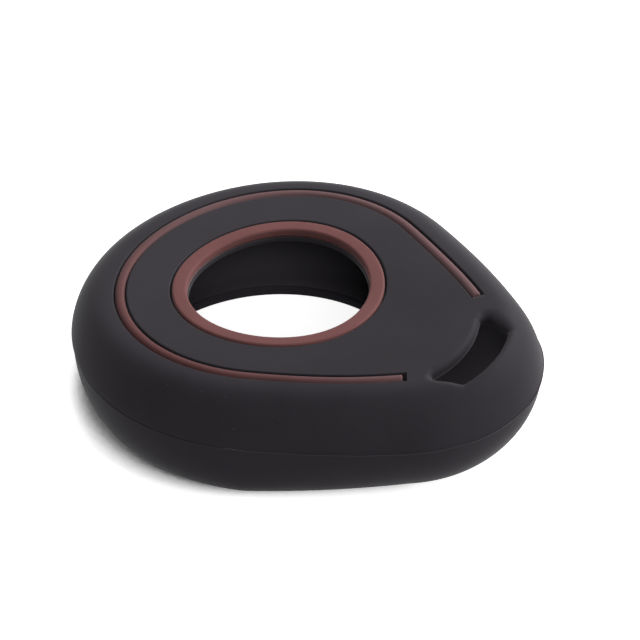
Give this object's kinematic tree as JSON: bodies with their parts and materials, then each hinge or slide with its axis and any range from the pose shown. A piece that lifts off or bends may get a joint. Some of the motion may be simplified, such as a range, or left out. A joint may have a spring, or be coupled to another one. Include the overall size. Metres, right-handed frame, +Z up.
{
  "type": "key fob cover",
  "caption": "Soft hollow teardrop sleeve that stretches over a round key fob, with a ringed window in the top, a raised stripe inlay and a curved key-ring slot at the tip.",
  "frame": {"origin": "middle of the cover's length and width, in the plane of the underside that it rests on", "axes": "+Z up through the window, +X along the length towards the key-ring tip, +Y across"},
  "size_m": [0.0586, 0.05, 0.015],
  "materials": {
    "black_silicone": "matte black moulded silicone with a faint dusty sheen",
    "brown_silicone": "matte reddish-brown moulded silicone"
  },
  "bodies": {
    "root": {"sleeve": "black_silicone", "window_ring": "brown_silicone", "stripe": "brown_silicone"}
  },
  "joints": []
}
